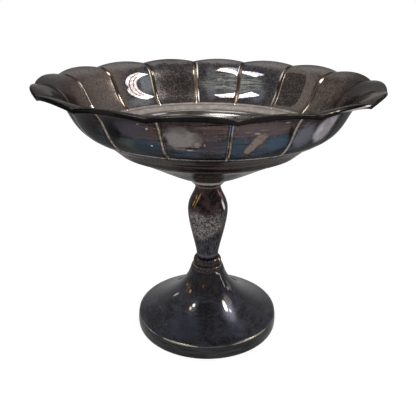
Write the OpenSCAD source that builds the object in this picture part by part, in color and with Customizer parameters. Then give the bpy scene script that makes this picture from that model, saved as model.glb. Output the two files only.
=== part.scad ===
// Footed compote bowl of tarnished plated sheet metal.
// A fluted bowl, its scalloped edge rolled round a wire, stands on a hollow baluster stem and a foot.
// A rod through the stem pulls bowl, stem and foot together against a nut under the foot.
// The origin is the middle of the foot's underside, and +Z points up.

/* [Bowl] */
// Radius from the axis to the middle of the rim wire, at a notch
bowl_r = 114.6; // [104:0.2:128]
// Height of the rim wire's middle above the bowl's seat, at a notch
bowl_h = 66.7; // [60:0.1:78]
// Thickness of the bowl's sheet
sheet = 0.8; // [0.6:0.05:0.9]
// Number of flutes, each under one scallop of the rim
flutes = 16; // [12:1:18]
// Radius of the ledge where the flutes end
ledge_r = 82.3; // [77:0.1:88]
// Height of that ledge above the seat
ledge_h = 37.7; // [34:0.1:41]
// Width of the ledge
ledge_w = 1.2; // [1:0.1:2.5]
// Drop of the surface across the ledge
ledge_drop = 0.8; // [0.4:0.1:1.5]
// Width of the shallow shelf inside the ledge
shelf_w = 6.7; // [4:0.1:9]
// Drop of the surface across that shelf
shelf_drop = 3.5; // [2:0.1:5]
// Radius of the bend round the dished bottom
bend_r = 64; // [56:0.5:68]
// Height of that bend above the seat
bend_h = 24.6; // [21:0.1:28]
// Radius of the flat seat under the bowl
seat_r = 13.6; // [13.2:0.1:20]

/* [Ribs and scallops] */
// Width of a rib between two flutes
rib_w = 2.6; // [1.6:0.1:3.6]
// Height of a rib, which stands up inside and leaves a groove outside
rib_h = 0.9; // [0.4:0.05:1.4]
// Rise of the rim between two notches
lobe_rise = 2.4; // [1:0.1:4]
// Reach of the rim outwards between two notches
lobe_out = 0.6; // [0.2:0.1:1.4]
// Swell of a flute outwards between two ribs
flute_swell = 0.8; // [0.3:0.1:1.6]

/* [Rolled edge] */
// Outer diameter of the edge, where the sheet rolls over and under the rim wire
roll_d = 2.9; // [2.6:0.1:3.6]
// Gap round the wire inside the roll
wire_gap = 0.1; // [0.06:0.01:0.15]

/* [Collar and rings] */
// Height of the collar under the bowl
collar_h = 3.2; // [2.4:0.1:5]
// Radius of the collar
collar_r = 12.8; // [11.5:0.1:13.2]
// Height of the tapered ring between collar and stem
neck_ring_h = 3; // [2:0.1:5]
// Height of the knop ring under the stem
knop_h = 6.5; // [5:0.1:9]
// Radius of the knop ring
knop_r = 10.8; // [9.6:0.1:11.8]
// Height of the tapered ring on the foot's crown
foot_ring_h = 3.5; // [2.5:0.1:5]
// Radius of that ring's upper edge
foot_ring_r = 12; // [11.8:0.1:12.8]

/* [Stem] */
// Length of the baluster stem
stem_l = 57.8; // [48:0.2:70]
// Greatest radius of the stem
belly_r = 15; // [13:0.1:18]
// Radius at the stem's upper end
stem_top_r = 9.4; // [9:0.1:10.4]
// Radius at the stem's lower end
stem_foot_r = 8.2; // [7.4:0.1:9.4]
// Wall of the hollow stem
stem_wall = 1.2; // [0.9:0.05:1.8]

/* [Foot] */
// Radius of the foot at the table
foot_r = 54.8; // [48:0.2:64]
// Height of the trumpet foot
foot_h = 46.5; // [40:0.5:56]
// Height of the upright band at the foot's edge
edge_h = 9.9; // [7:0.1:13]
// Lean of that band inwards from the table to its crease
edge_lean = 0.5; // [0.2:0.1:2]
// Bow of that band outwards at its middle
edge_bow = 0.4; // [0.1:0.1:0.8]
// Radius of the foot's crown
crown_r = 12.9; // [12.8:0.1:15]
// Wall of the foot
foot_wall = 1; // [0.8:0.05:1.5]
// Width of the flat lip turned in under the foot
lip_w = 4; // [3:0.5:8]

/* [Fastening] */
// Diameter of the rod through the stem
rod_d = 6; // [5:0.1:6.6]
// Radial gap round the rod where it passes through a hole
rod_gap = 0.2; // [0.1:0.05:0.4]
// Radial gap that stands for the thread in boss and nut
thread_gap = 0.05; // [0.03:0.01:0.1]
// Radius of the threaded boss under the bowl
boss_r = 7; // [6.2:0.1:7.3]
// Height of that boss
boss_h = 14; // [12:0.5:20]
// Radial gap between the boss and the rings round it
boss_gap = 0.1; // [0.05:0.05:0.2]
// Width of the nut across its flats
nut_af = 10; // [9.5:0.5:13]
// Height of the nut
nut_h = 5; // [4:0.1:7]
// Radius of the washer
washer_r = 9; // [8:0.1:10.5]
// Thickness of the washer
washer_t = 1.2; // [0.8:0.1:2]
// Length of rod that stands out below the nut
rod_tail = 3; // [1:0.5:8]

/* [Hidden] */
$fn = 96;

// Overrun of every cut
over = 1;

// Heights of the joints in the stack, from the table up
foot_ring_z = foot_h;
knop_z = foot_ring_z + foot_ring_h;
stem_z = knop_z + knop_h;
neck_ring_z = stem_z + stem_l;
collar_z = neck_ring_z + neck_ring_h;
seat_z = collar_z + collar_h;
rim_z = seat_z + bowl_h;

// Rolled edge: the middle of its sheet, how far round it turns, and the wire inside it
roll_mid_r = roll_d / 2 - sheet / 2;
wire_r = roll_d / 2 - sheet - wire_gap;
roll_turn = 285;
lip_z = rim_z + roll_mid_r;

// Handles of the lip's and wall's curve, as shares of its width and height
wall_w = bowl_r - ledge_r;
wall_h = lip_z - seat_z - ledge_h;
lip_pull_share = 0.73;
wall_pull_share = 0.486;
wall_lift_share = 0.318;

// Handles of the dished bottom, as shares of its width and height
seat_blend = sheet;
dish_w = bend_r - seat_r - seat_blend;
dish_h = bend_h - sheet / 2;
dish_pull_share = 0.31;
dish_fall_share = 0.26;
seat_pull_share = 0.32;
seat_lift_share = 0.22;

// How far down the wall the scallops reach and the ribs rise, as shares of the wall's curve,
// and the share of a rib's height that is left at the ledge
scallop_share = 0.55;
rib_start_share = 0.16;
rib_end_share = 0.4;
scallop_power_share = 0.8;

// Counts of steps along the curves and round one flute
roll_steps = 7;
wall_steps = 9;
dish_steps = 4;
cols = 8;
wire_sides = 8;
curve_steps = 14;

// Handles of the stem's curve: where its belly lies and how full it is, as shares of its length
belly_share = 0.675;
low_pull_share = 0.145;
belly_low_share = 0.205;
belly_high_share = 0.165;
top_pull_share = 0.092;

// Handles of the trumpet's curve, as shares of its width and height
crown_out_share = 0.09;
crown_fall_share = 0.405;
edge_in_share = 0.55;
edge_rise_share = 0.25;
edge_round = foot_wall / 2;

// Plate that closes the foot's crown and web that closes the stem's lower end
crown_plate = 1.2 * foot_wall;
stem_web = 1.5 * stem_wall;
rod_hole_r = rod_d / 2 + rod_gap;
thread_r = rod_d / 2 + thread_gap;
boss_hole_r = boss_r + boss_gap;
boss_cap_share = 0.2;
rod_end_gap_share = 0.04;

// Shares of a turned ring's height and radius that its rounded edges take
ring_round_share = 0.3;
knop_round_share = 0.6;

old_silver = "#3a3436";
worn_silver = "#5b5552";
dark_wire = "#2e302d";
plain_steel = "#8a8a88";

// Point on a cubic curve with two handles
function curve(a, b, c, d, t) =
    pow(1 - t, 3) * a + 3 * pow(1 - t, 2) * t * b + 3 * (1 - t) * pow(t, 2) * c + pow(t, 3) * d;
function curve_points(a, b, c, d, steps) = [for (i = [0:steps]) curve(a, b, c, d, i / steps)];

// Direction of a path at one of its points, and the path moved sideways to the left of that
function last(path) = len(path) - 1;
function unit(v) = v / norm(v);
function heading(path, i) = unit(path[min(i + 1, last(path))] - path[max(i - 1, 0)]);
function beside(path, d) =
    [for (i = [0:last(path)]) let (h = heading(path, i)) path[i] + d * [-h[1], h[0]]];

// Scallop: zero at a notch and one in the middle of a flute
function lobe(a) = pow(abs(sin(flutes * a / 2)), scallop_power_share);

// Half the angle that a rib takes at a radius, and the angle of a column there
pitch = 360 / flutes;
all_cols = flutes * cols;
function rib_half(r) = rib_w / 2 / max(r, bend_r) * 180 / PI;
function col_angle(j, r) =
    let (m = j % cols, h = rib_half(r), start = floor(j / cols) * pitch)
    m < 2 ? start + m * h / 2
    : m > cols - 2 ? start + pitch - (cols - m) * h / 2
    : start + h + (pitch - 2 * h) * (m - 2) / (cols - 4);

// Height of a rib at a column, as a share: its crest is one and its foot is zero
function rib_share(j) = let (m = min(j % cols, cols - j % cols)) m == 0 ? 1 : m == 1 ? 0.5 : 0;

// Middle of the sheet along a rib, from the rolled edge to the seat, as [radius, height]
mid_z = seat_z + sheet / 2;
roll_path = [for (i = [0:roll_steps - 1]) let (g = roll_turn * (1 - i / roll_steps))
    [bowl_r + roll_mid_r * sin(g), rim_z + roll_mid_r * cos(g)]];
wall_path = curve_points(
    [bowl_r, lip_z],
    [bowl_r - lip_pull_share * wall_w, lip_z],
    [ledge_r + wall_pull_share * wall_w, seat_z + ledge_h + wall_lift_share * wall_h],
    [ledge_r, seat_z + ledge_h],
    wall_steps);
dish_path = curve_points(
    [bend_r, seat_z + bend_h],
    [bend_r - dish_pull_share * dish_w, seat_z + bend_h - dish_fall_share * dish_h],
    [seat_r + seat_blend + seat_pull_share * dish_w, mid_z + seat_lift_share * dish_h],
    [seat_r + seat_blend, mid_z],
    dish_steps);
bowl_path = concat(
    roll_path,
    wall_path,
    [[ledge_r - ledge_w, seat_z + ledge_h - ledge_drop]],
    [[ledge_r - ledge_w - shelf_w, seat_z + ledge_h - ledge_drop - shelf_drop]],
    dish_path,
    [[seat_r, mid_z]]);

// What each row of that path takes of the scallops, the ribs and the flutes' swell
wall_end = roll_steps + wall_steps;
function row_t(i) = max(0, i - roll_steps) / wall_steps;
function scallop_at(i) = pow(max(0, 1 - row_t(i) / scallop_share), 2);
function rib_at(i) = i > wall_end ? 0 : i == wall_end ? rib_end_share : min(1, row_t(i) / rib_start_share);
function swell_at(i) = i > wall_end ? 0 : sin(180 * row_t(i));

// Point of the sheet at a row and column, a distance inwards from its middle
function sheet_point(i, j, d) =
    let (
        p = bowl_path[i],
        h = heading(concat(bowl_path, [[0, mid_z]]), i),
        a = col_angle(j, p[0]),
        in = d + rib_h * rib_share(j) * rib_at(i) - flute_swell * lobe(a) * swell_at(i),
        r = p[0] + h[1] * in + lobe_out * lobe(a) * scallop_at(i),
        z = p[1] - h[0] * in + lobe_rise * lobe(a) * scallop_at(i)
    )
    [r * cos(a), r * sin(a), z];

// Two triangles between two rows of a ring of points
function band(low, high, n) =
    [for (j = [0:n - 1]) let (k = (j + 1) % n)
        each [[low + j, high + j, high + k], [low + j, high + k, low + k]]];

// Solid of revolution of a closed outline
module turned(outline) {
    rotate_extrude() polygon(outline);
}

// Sheet-metal bowl: the rolled edge, the fluted wall with its ribs, the ledge, the shelf and the dish
module bowl() {
    rows = len(bowl_path);
    under = rows * all_cols;
    points = concat(
        [for (i = [0:rows - 1]) for (j = [0:all_cols - 1]) sheet_point(i, j, sheet / 2)],
        [for (i = [0:rows - 1]) for (j = [0:all_cols - 1]) sheet_point(i, j, -sheet / 2)],
        [[0, 0, mid_z + sheet / 2], [0, 0, mid_z - sheet / 2]]);
    top_middle = 2 * under;
    low_middle = 2 * under + 1;
    last_top = under - all_cols;
    last_low = 2 * under - all_cols;
    faces = concat(
        [for (i = [0:rows - 2]) each band(i * all_cols, (i + 1) * all_cols, all_cols)],
        [for (i = [0:rows - 2]) each band(under + (i + 1) * all_cols, under + i * all_cols, all_cols)],
        band(under, 0, all_cols),
        [for (j = [0:all_cols - 1]) [last_top + (j + 1) % all_cols, last_top + j, top_middle]],
        [for (j = [0:all_cols - 1]) [last_low + j, last_low + (j + 1) % all_cols, low_middle]]);
    color(old_silver) polyhedron(points, faces, convexity = 8);
}

// Rim wire: it lies inside the rolled edge and follows the scallops
module rim_wire() {
    points = [for (s = [0:wire_sides - 1]) for (j = [0:all_cols - 1])
        let (
            g = -360 * s / wire_sides,
            a = col_angle(j, bowl_r),
            r = bowl_r + lobe_out * lobe(a) + wire_r * cos(g),
            z = rim_z + lobe_rise * lobe(a) + wire_r * sin(g)
        )
        [r * cos(a), r * sin(a), z]];
    faces = [for (s = [0:wire_sides - 1])
        each band((s + 1) % wire_sides * all_cols, s * all_cols, all_cols)];
    color(dark_wire) polyhedron(points, faces, convexity = 8);
}

// Collar: the plain turned ring that seats the bowl, bored for the boss
module collar() {
    round_h = ring_round_share * collar_h;
    color(worn_silver) difference() {
        turned([
            [0, collar_z],
            [collar_r - round_h, collar_z],
            [collar_r, collar_z + round_h],
            [collar_r, seat_z],
            [0, seat_z]
        ]);
        translate([0, 0, collar_z - over]) cylinder(r = boss_hole_r, h = collar_h + 2 * over);
    }
}

// Tapered ring that carries the collar's width down to the stem's neck
module neck_ring() {
    round_h = ring_round_share * neck_ring_h;
    wide_r = collar_r - ring_round_share * collar_h;
    color(worn_silver) difference() {
        turned([
            [0, neck_ring_z],
            [stem_top_r, neck_ring_z],
            [stem_top_r + round_h / 2, neck_ring_z + round_h],
            [wide_r, collar_z],
            [0, collar_z]
        ]);
        translate([0, 0, neck_ring_z - over]) cylinder(r = boss_hole_r, h = neck_ring_h + 2 * over);
    }
}

// Threaded boss soldered under the middle of the bowl, blind at its upper end
module bowl_boss() {
    color(plain_steel) difference() {
        translate([0, 0, seat_z - boss_h]) cylinder(r = boss_r, h = boss_h);
        translate([0, 0, seat_z - boss_h - over])
            cylinder(r = thread_r, h = boss_h * (1 - boss_cap_share) + over);
    }
}

// Hollow baluster stem, open at its upper end and closed by a drilled web at its lower end
belly_z = stem_z + belly_share * stem_l;
stem_low_path = curve_points(
    [stem_foot_r, stem_z],
    [stem_foot_r, stem_z + low_pull_share * stem_l],
    [belly_r, belly_z - belly_low_share * stem_l],
    [belly_r, belly_z],
    curve_steps);
stem_high_path = curve_points(
    [belly_r, belly_z],
    [belly_r, belly_z + belly_high_share * stem_l],
    [stem_top_r, neck_ring_z - top_pull_share * stem_l],
    [stem_top_r, neck_ring_z],
    curve_steps);
stem_path = concat(stem_low_path, [for (i = [1:curve_steps]) stem_high_path[i]]);
module stem() {
    web_z = stem_z + stem_web;
    inside = [for (p = beside(stem_path, stem_wall)) [p[0], max(p[1], web_z)]];
    color(old_silver) difference() {
        turned(concat([[0, stem_z]], stem_path, [[0, neck_ring_z]]));
        turned(concat(
            [[0, web_z]],
            inside,
            [[inside[last(inside)][0], neck_ring_z + over], [0, neck_ring_z + over]]));
        translate([0, 0, stem_z - over]) cylinder(r = rod_hole_r, h = stem_web + 2 * over);
    }
}

// Knop ring: a turned ring with a rounded shoulder under the stem's lower neck
module knop_ring() {
    shoulder = curve_points(
        [knop_r, stem_z - knop_round_share * knop_h],
        [knop_r, stem_z - ring_round_share * knop_h],
        [(knop_r + stem_foot_r) / 2, stem_z],
        [stem_foot_r, stem_z],
        curve_steps);
    color(old_silver) difference() {
        turned(concat([[0, knop_z], [knop_r, knop_z]], shoulder, [[0, stem_z]]));
        translate([0, 0, knop_z - over]) cylinder(r = rod_hole_r, h = knop_h + 2 * over);
    }
}

// Tapered ring on the foot's crown
module foot_ring() {
    round_h = ring_round_share * foot_ring_h;
    color(worn_silver) difference() {
        turned([
            [0, foot_ring_z],
            [crown_r, foot_ring_z],
            [foot_ring_r, knop_z - round_h],
            [foot_ring_r - round_h / 2, knop_z],
            [0, knop_z]
        ]);
        translate([0, 0, foot_ring_z - over]) cylinder(r = rod_hole_r, h = foot_ring_h + 2 * over);
    }
}

// Trumpet foot: a spun shell with an upright edge band and a flat lip turned in under it
crease_r = foot_r - edge_lean;
trumpet_w = crease_r - crown_r;
trumpet_h = foot_h - edge_h;
trumpet_path = curve_points(
    [crown_r, foot_h],
    [crown_r + crown_out_share * trumpet_w, foot_h - crown_fall_share * trumpet_h],
    [crease_r - edge_in_share * trumpet_w, edge_h + edge_rise_share * trumpet_h],
    [crease_r, edge_h],
    curve_steps);
edge_steps = curve_steps / 2;
edge_path = [for (i = [1:edge_steps]) let (t = i / edge_steps)
    [crease_r + edge_lean * t + edge_bow * sin(180 * t), edge_h + (edge_round - edge_h) * t]];
foot_path = concat(trumpet_path, edge_path);
module foot() {
    plate_z = foot_h - crown_plate;
    inside = [for (p = beside(foot_path, -foot_wall)) [p[0], max(min(p[1], plate_z), foot_wall)]];
    color(old_silver) difference() {
        turned(concat([[0, foot_h]], foot_path, [[foot_r - edge_round, 0], [0, 0]]));
        turned(concat(
            [[0, plate_z]],
            inside,
            [[0, foot_wall]]));
        translate([0, 0, -over]) cylinder(r = foot_r - lip_w, h = foot_wall + 2 * over);
        translate([0, 0, plate_z - over]) cylinder(r = rod_hole_r, h = crown_plate + 2 * over);
    }
}

// Rod from the boss under the bowl, through the stem, to below the nut
washer_z = foot_h - crown_plate - washer_t;
nut_z = washer_z - nut_h;
module tie_rod() {
    rod_top_z = seat_z - boss_h * (boss_cap_share + rod_end_gap_share);
    rod_low_z = nut_z - rod_tail;
    color(plain_steel) translate([0, 0, rod_low_z]) cylinder(d = rod_d, h = rod_top_z - rod_low_z);
}

// Washer under the foot's crown
module washer() {
    color(plain_steel) difference() {
        translate([0, 0, washer_z]) cylinder(r = washer_r, h = washer_t);
        translate([0, 0, washer_z - over]) cylinder(r = rod_hole_r, h = washer_t + 2 * over);
    }
}

// Hexagon nut that draws the rod down
module nut() {
    color(plain_steel) difference() {
        translate([0, 0, nut_z]) cylinder(d = nut_af / cos(30), h = nut_h, $fn = 6);
        translate([0, 0, nut_z - over]) cylinder(r = thread_r, h = nut_h + 2 * over);
    }
}

bowl();
rim_wire();
collar();
neck_ring();
bowl_boss();
stem();
knop_ring();
foot_ring();
foot();
tie_rod();
washer();
nut();
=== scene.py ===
import math

import bmesh
import bpy
from mathutils import Matrix, Vector
from mathutils.geometry import interpolate_bezier


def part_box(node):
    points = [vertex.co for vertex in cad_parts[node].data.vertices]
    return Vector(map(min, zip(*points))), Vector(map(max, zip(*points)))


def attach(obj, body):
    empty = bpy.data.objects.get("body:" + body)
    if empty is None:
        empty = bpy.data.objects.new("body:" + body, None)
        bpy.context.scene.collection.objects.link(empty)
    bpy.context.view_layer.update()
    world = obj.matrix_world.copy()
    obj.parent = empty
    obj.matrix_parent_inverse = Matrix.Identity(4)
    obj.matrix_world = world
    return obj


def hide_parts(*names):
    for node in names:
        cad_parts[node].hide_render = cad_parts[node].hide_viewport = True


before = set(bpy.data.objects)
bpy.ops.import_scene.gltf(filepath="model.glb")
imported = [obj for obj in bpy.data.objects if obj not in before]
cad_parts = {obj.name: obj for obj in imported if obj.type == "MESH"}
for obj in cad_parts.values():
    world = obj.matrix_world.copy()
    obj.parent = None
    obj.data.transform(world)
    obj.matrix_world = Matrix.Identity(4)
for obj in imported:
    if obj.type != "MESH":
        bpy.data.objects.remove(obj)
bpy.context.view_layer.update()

# Bowl
# One sheet of brass, spun to a dish and pressed into sixteen flutes with a narrow rib between each two,
# then silver-plated. Its scalloped edge is rolled over and under a wire, so no cut edge shows.
MM = 0.001
SHEET = 0.8 * MM
FLUTES = 16
FLUTE_TURN = 2 * math.pi / FLUTES
FLUTE_SWELL = 0.8 * MM
LOBE_RISE = 2.4 * MM
LOBE_OUT = 0.6 * MM
LOBE_FULLNESS = 0.8
RIB_W = 2.8 * MM
RIB_H = 0.9 * MM
RIB_REACH = 4 * MM
RIM_R = 114.6 * MM
RIM_RISE = 66.7 * MM
ROLLED_EDGE = 2.9 * MM
ROLL_R = (ROLLED_EDGE - SHEET) / 2
ROLL_TURN = math.radians(285)
ROLL_STEPS = 14
LEDGE_R, LEDGE_RISE = 82.3 * MM, 37.7 * MM
LEDGE_W, LEDGE_DROP = 1.2 * MM, 0.8 * MM
SHELF_W, SHELF_DROP = 6.7 * MM, 3.5 * MM
STEP_R, STEP_RISE = 64 * MM, 24.6 * MM
SEAT_R = 13.6 * MM
COLS_A_FLUTE = 32
COLUMN_CROWDING = 1.7
# shares of the way down the wall, from the rim at zero to the ledge at one
SCALLOP_END = 0.55
RIB_START = 0.16
RIB_END = 1.04
RIB_FADE = 0.09


def lobe(angle):
    """Rise of the scalloped edge: zero at a notch and one in the middle of a flute."""
    return abs(math.sin(FLUTES * angle / 2)) ** LOBE_FULLNESS


def crowd_to_ribs(angle):
    """Moves a column's angle so that columns lie close together on the ribs."""
    nearest_rib = round(angle / FLUTE_TURN)
    off = angle / FLUTE_TURN - nearest_rib
    return (nearest_rib + math.copysign(abs(2 * off) ** COLUMN_CROWDING / 2, off)) * FLUTE_TURN


def turned(name, section, columns, closed):
    """Spins a section, given as points in the XZ plane, once round Z and makes it an object."""
    bm = bmesh.new()
    row = bm.verts.layers.float.new("row")
    verts = [bm.verts.new(p) for p in section]
    for i, v in enumerate(verts):
        v[row] = i
    edges = [bm.edges.new(pair) for pair in zip(verts, verts[1:])]
    if closed:
        edges.append(bm.edges.new((verts[-1], verts[0])))
    bmesh.ops.spin(
        bm, geom=verts + edges, cent=(0, 0, 0), axis=(0, 0, 1), angle=2 * math.pi,
        steps=columns, use_merge=True, use_duplicate=False)
    bmesh.ops.remove_doubles(bm, verts=bm.verts, dist=1e-7)
    bmesh.ops.recalc_face_normals(bm, faces=bm.faces)
    for face in bm.faces:
        face.smooth = True
    mesh = bpy.data.meshes.new(name)
    bm.to_mesh(mesh)
    bm.free()
    piece = bpy.data.objects.new(name, mesh)
    bpy.context.scene.collection.objects.link(piece)
    return piece


def curve(start, handle_a, handle_b, end, steps):
    """Points of a cubic curve in the XZ plane, from (radius, height) pairs."""
    knots = [Vector((r, 0, z)) for r, z in (start, handle_a, handle_b, end)]
    return interpolate_bezier(*knots, steps + 1)


seat_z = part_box("bowl")[0].z
rim_z = seat_z + RIM_RISE
lip_z = rim_z + ROLL_R
mid_z = seat_z + SHEET / 2
ledge_z = seat_z + LEDGE_RISE
shelf_r, shelf_z = LEDGE_R - LEDGE_W, ledge_z - LEDGE_DROP
cone_r, cone_z = shelf_r - SHELF_W, shelf_z - SHELF_DROP
step_z = seat_z + STEP_RISE
wall_w, wall_h = RIM_R - LEDGE_R, lip_z - ledge_z
dish_r = SEAT_R + SHEET
dish_w, dish_h = STEP_R - dish_r, step_z - mid_z
roll = [Vector((RIM_R + ROLL_R * math.sin(g), 0, rim_z + ROLL_R * math.cos(g)))
        for g in [ROLL_TURN * (1 - i / ROLL_STEPS) for i in range(ROLL_STEPS)]]
wall = curve(
    (RIM_R, lip_z), (RIM_R - 0.73 * wall_w, lip_z),
    (LEDGE_R + 0.486 * wall_w, ledge_z + 0.318 * wall_h), (LEDGE_R, ledge_z), 38)
ledge = curve(
    (LEDGE_R - 0.3 * MM, ledge_z - 0.2 * MM), (LEDGE_R - 0.6 * MM, ledge_z - 0.4 * MM),
    (shelf_r + 0.4 * MM, shelf_z + 0.3 * MM), (shelf_r, shelf_z), 3)
shelf = curve(
    (shelf_r - 0.9 * MM, shelf_z - 0.2 * MM), (shelf_r - 2.9 * MM, shelf_z - 0.8 * MM),
    (cone_r + 3 * MM, cone_z + 1.2 * MM), (cone_r, cone_z), 4)
cone = curve(
    (cone_r - 0.9 * MM, cone_z - 0.5 * MM), (cone_r - 4 * MM, cone_z - 2.6 * MM),
    (STEP_R + 4.4 * MM, step_z + 3.6 * MM), (STEP_R + 1.0 * MM, step_z + 1.1 * MM), 6)
dish = curve(
    (STEP_R, step_z), (STEP_R - 0.31 * dish_w, step_z - 0.26 * dish_h),
    (dish_r + 0.32 * dish_w, mid_z + 0.22 * dish_h), (dish_r, mid_z), 15)
middle = curve((SEAT_R, mid_z), (9 * MM, mid_z), (5 * MM, mid_z), (0, mid_z), 3)
section = roll + wall + ledge + shelf + cone + dish + middle

bowl = turned("fluted_bowl", section, FLUTES * COLS_A_FLUTE, closed=False)
bm = bmesh.new()
bm.from_mesh(bowl.data)
seat_faces = [f for f in bm.faces if f.calc_center_median().xy.length < SEAT_R]
if seat_faces[0].normal.z < 0:
    bmesh.ops.reverse_faces(bm, faces=bm.faces)
bm.normal_update()
row = bm.verts.layers.float["row"]
down = bm.verts.layers.float.new("down")
rolled = bm.verts.layers.float.new("rolled")
from_rib = bm.verts.layers.float.new("from_rib")
for v in bm.verts:
    t = max(0.0, (v[row] - ROLL_STEPS) / (len(wall) - 1))
    v[down] = t
    v[rolled] = max(0.0, 1 - v[row] / ROLL_STEPS)
    v[from_rib] = 1.0
    radius = math.hypot(v.co.x, v.co.y)
    if radius < STEP_R - 1 * MM:
        continue
    spun = math.atan2(v.co.y, v.co.x)
    angle = crowd_to_ribs(spun)
    off = abs(angle - round(angle / FLUTE_TURN) * FLUTE_TURN) * radius
    v[from_rib] = min(1.0, off / RIB_REACH)
    fade = min(1.0, t / RIB_START) * min(1.0, max(0.0, (RIB_END - t) / RIB_FADE))
    rib = (0.5 + 0.5 * math.cos(math.pi * min(1.0, off / (RIB_W / 2)))) * fade
    scallop = max(0.0, 1 - t / SCALLOP_END) ** 2 * lobe(angle)
    swell = math.sin(math.pi * t) * lobe(angle) if t <= 1 else 0.0
    inward = RIB_H * rib - FLUTE_SWELL * swell
    outward = v.normal.x * math.cos(spun) + v.normal.y * math.sin(spun)
    radius += outward * inward + LOBE_OUT * scallop
    height = v.co.z + v.normal.z * inward + LOBE_RISE * scallop
    v.co = Vector((radius * math.cos(angle), radius * math.sin(angle), height))
bm.to_mesh(bowl.data)
bm.free()
thick = bowl.modifiers.new("sheet", "SOLIDIFY")
thick.thickness = SHEET
thick.offset = 0
thick.use_even_offset = True
thick.material_offset = 1
thick.material_offset_rim = 1
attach(bowl, "root")
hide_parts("bowl")


def shade(hex_colour):
    """Turns an sRGB hex colour into the linear colour that a socket takes."""
    parts = [int(hex_colour[i:i + 2], 16) / 255 for i in (1, 3, 5)]
    return [c / 12.92 if c <= 0.04045 else ((c + 0.055) / 1.055) ** 2.4 for c in parts] + [1.0]


def add_node(mat, kind, feeds, out=0, **settings):
    """Adds a node with its settings, links or sets its inputs, text as a colour, and returns one output."""
    node = mat.node_tree.nodes.new("ShaderNode" + kind)
    for name, value in settings.items():
        setattr(node, name, value)
    for name, value in feeds.items():
        if isinstance(value, bpy.types.NodeSocket):
            mat.node_tree.links.new(value, node.inputs[name])
        else:
            node.inputs[name].default_value = shade(value) if isinstance(value, str) else value
    return node.outputs[out] if len(node.outputs) else node


def new_finish(name):
    """An empty material that a finish is built in."""
    mat = bpy.data.materials.new(name)
    mat.use_nodes = True
    mat.node_tree.nodes.clear()
    return mat


def toned(mat, value, low, high, under, over, most=1.0):
    """Blends one tone into another, up to a share, as a value passes from low to high."""
    share = add_node(mat, "MapRange", {0: value, 1: low, 2: high, 4: most}, interpolation_type="SMOOTHSTEP")
    return add_node(mat, "Mix", {0: share, 6: under, 7: over}, out=2, data_type="RGBA")


def laid(mat, body, share, most, tone):
    """Lays a tone over a colour by a share, scaled to the most that it may cover."""
    share = add_node(mat, "Math", {0: share, 1: most}, operation="MULTIPLY")
    return add_node(mat, "Mix", {0: share, 6: body, 7: tone}, out=2, data_type="RGBA")


def window(mat, value, start, full, waning, end):
    """Share that is one between two places of a value and zero beyond them, with soft ends."""
    rise = add_node(mat, "MapRange", {0: value, 1: start, 2: full}, interpolation_type="SMOOTHSTEP")
    return add_node(mat, "MapRange", {0: value, 1: end, 2: waning, 4: rise}, interpolation_type="SMOOTHSTEP")


def place_in_mm(mat):
    """The place in space, in millimetres."""
    place = add_node(mat, "TexCoord", {}, out=3)
    return add_node(mat, "VectorMath", {0: place, 3: 1 / MM}, operation="SCALE")


def unrolled(mat, space, radius_mm):
    """The surface laid out flat round the axis, in millimetres, and the height on it."""
    split = add_node(mat, "SeparateXYZ", {0: space}).node
    turn = add_node(mat, "Math", {0: split.outputs[1], 1: split.outputs[0]}, operation="ARCTAN2")
    across = add_node(mat, "Math", {0: turn, 1: float(radius_mm)}, operation="MULTIPLY")
    return add_node(mat, "CombineXYZ", {0: across, 1: split.outputs[2]}), split.outputs[2]


def grain(mat, where, size_mm, detail=4.0, rough=0.6, warp=0.0, lay=(1.0, 1.0, 1.0)):
    """Noise with features about size_mm across, drawn out by lay."""
    sized = add_node(mat, "Mapping", {0: where, 3: [1 / (size_mm * k) for k in lay]})
    return add_node(mat, "TexNoise", {
        "Vector": sized, "Scale": 1.0, "Detail": detail, "Roughness": rough, "Distortion": warp})


# radius in millimetres at which the wall is laid flat for its marks
WALL_MAP_R = 95


def spot(mat, flat_map, ragged, azimuth, height, wide, high, lean=0,
         soft=0.3, fray=0.5, radius=WALL_MAP_R, square=False):
    """Share of a spot at an azimuth in degrees and a height in mm. Fray makes its edge ragged."""
    local = add_node(mat, "Mapping", {
        0: flat_map, 1: (math.radians(azimuth) * radius, height, 0),
        2: (0, 0, math.radians(lean)), 3: (wide, high, 1)}, vector_type="TEXTURE")
    if square:
        local = add_node(mat, "VectorMath", {0: local, 1: local}, operation="MULTIPLY")
    reach = add_node(mat, "VectorMath", {0: local}, out=1, operation="LENGTH")
    reach = add_node(mat, "Math", {0: ragged, 1: float(fray), 2: reach}, operation="MULTIPLY_ADD")
    brim = 1 + fray / 2
    return add_node(mat, "MapRange", {0: reach, 1: brim + soft, 2: brim - soft},
                    interpolation_type="SMOOTHSTEP")


def marked(mat, body, flat_map, ragged, rows, soft, fray, radius=WALL_MAP_R, within=None):
    """Paints rows of spots: azimuth, height, half width, half height, colour, strength and any lean."""
    for azimuth, height, wide, high, tone, most, *lean in rows:
        share = spot(mat, flat_map, ragged, azimuth, height, wide, high, *lean,
                     soft=soft, fray=fray, radius=radius)
        if within is not None:
            share = add_node(mat, "Math", {0: share, 1: within}, operation="MULTIPLY")
        body = laid(mat, body, share, most, tone)
    return body


def band(mat, up, height, half, soft):
    """Share of a level band round the axis, half its width to each side of a height."""
    low, high = height - half, height + half
    return window(mat, up, low - soft, low + soft, high - soft, high + soft)


def mesh_shares(mat):
    """The shares that the bowl's mesh carries: down the wall, round the rolled edge, away from a rib."""
    return [add_node(mat, "Attribute", {}, out=2, attribute_name=name)
            for name in ("down", "rolled", "from_rib")]


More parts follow.
